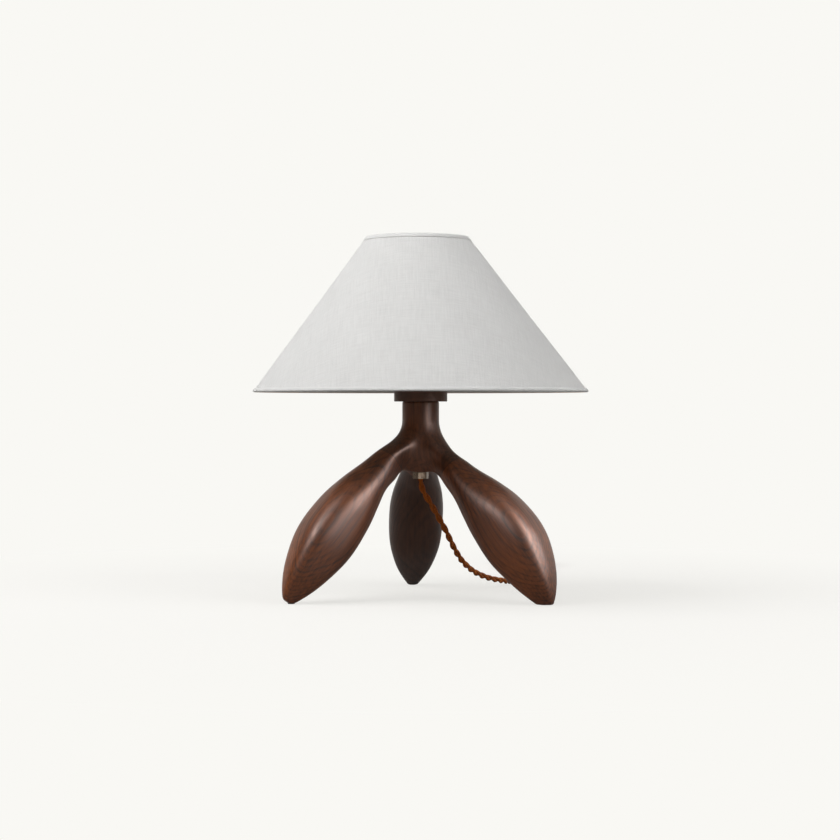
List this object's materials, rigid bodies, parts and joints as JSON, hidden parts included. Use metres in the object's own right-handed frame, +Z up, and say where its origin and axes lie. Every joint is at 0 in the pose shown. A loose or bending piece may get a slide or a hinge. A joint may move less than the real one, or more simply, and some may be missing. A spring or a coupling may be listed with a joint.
{
  "type": "table lamp",
  "caption": "Table lamp with a carved dark wood base on spreading club-shaped legs, a cone linen shade on a harp, and a twisted lead with a plug",
  "frame": {"origin": "on the floor under the axis of the neck, at the middle of the shade's outline seen from above", "axes": "+Z up along the neck, +X to the viewer's right, the front legs on the -Y side"},
  "size_m": [0.4013, 0.7256, 0.4306],
  "materials": {
    "dark_wood": "satin oiled walnut",
    "dowel_wood": "plain beech",
    "felt": "felt",
    "steel": "zinc plated",
    "nickel": "satin nickel",
    "brass": "satin",
    "card": "insulating card",
    "phenolic": "moulded",
    "opal_glass": "opal",
    "aluminium_cap": "spun",
    "braid": "braided cotton",
    "tie": "soft strap",
    "plug": "moulded brown",
    "linen": "woven linen",
    "linen_tape": "rolled hem",
    "liner": "smooth"
  },
  "bodies": {
    "base": {"hub": "dark_wood", "leg_left": "dark_wood", "leg_right": "dark_wood", "leg_back": "dark_wood", "foot_pad_left": "felt", "foot_pad_right": "felt", "foot_pad_back": "felt", "leg_dowels": "dowel_wood", "collar": "dark_wood", "lamp_pipe": "steel", "bottom_washer": "steel", "bottom_nut": "nickel", "cord_bushing": "phenolic", "inner_cord": "braid", "saddle_washer": "steel", "lock_nut": "steel", "harp_saddle": "steel", "harp": "brass", "socket_cap": "brass", "socket_shell": "brass", "socket_liner": "card", "socket_body": "phenolic", "socket_screw_shell": "brass", "socket_contact": "brass", "terminal_screws": "steel", "bulb_glass": "opal_glass", "bulb_screw_cap": "aluminium_cap", "bulb_insulator": "phenolic", "bulb_contact": "brass", "cord_stretch": "braid", "cord_coil": "braid", "cord_tail": "braid", "cord_tie": "tie", "plug_body": "plug", "plug_blades": "brass"},
    "shade": {"shade_linen": "linen", "shade_liner": "liner", "shade_hem_bottom": "linen_tape", "shade_hem_top": "linen_tape", "shade_bottom_ring": "steel", "shade_top_ring": "steel", "shade_spider": "steel"},
    "finial": {"finial": "brass"},
    "sleeve_left": {"harp_sleeve_left": "brass"},
    "sleeve_right": {"harp_sleeve_right": "brass"},
    "switch": {"switch_shaft": "brass", "switch_knob": "phenolic"}
  },
  "joints": [
    {"name": "shade_turn", "type": "hinge", "parent": "base", "child": "shade", "pos_m": [0, 0, 0.4028], "axis": [0, 0, 1], "continuous": true},
    {"name": "finial_turn", "type": "hinge", "parent": "base", "child": "finial", "pos_m": [0, 0, 0.41], "axis": [0, 0, 1], "continuous": true},
    {"name": "sleeve_left_slide", "type": "slide", "parent": "base", "child": "sleeve_left", "axis": [0, 0, 1], "range_m": [0, 0.012]},
    {"name": "sleeve_right_slide", "type": "slide", "parent": "base", "child": "sleeve_right", "axis": [0, 0, 1], "range_m": [0, 0.012]},
    {"name": "switch_turn", "type": "hinge", "parent": "base", "child": "switch", "pos_m": [0, -0.02, 0.27484], "axis": [0, 1, 0], "continuous": true}
  ]
}
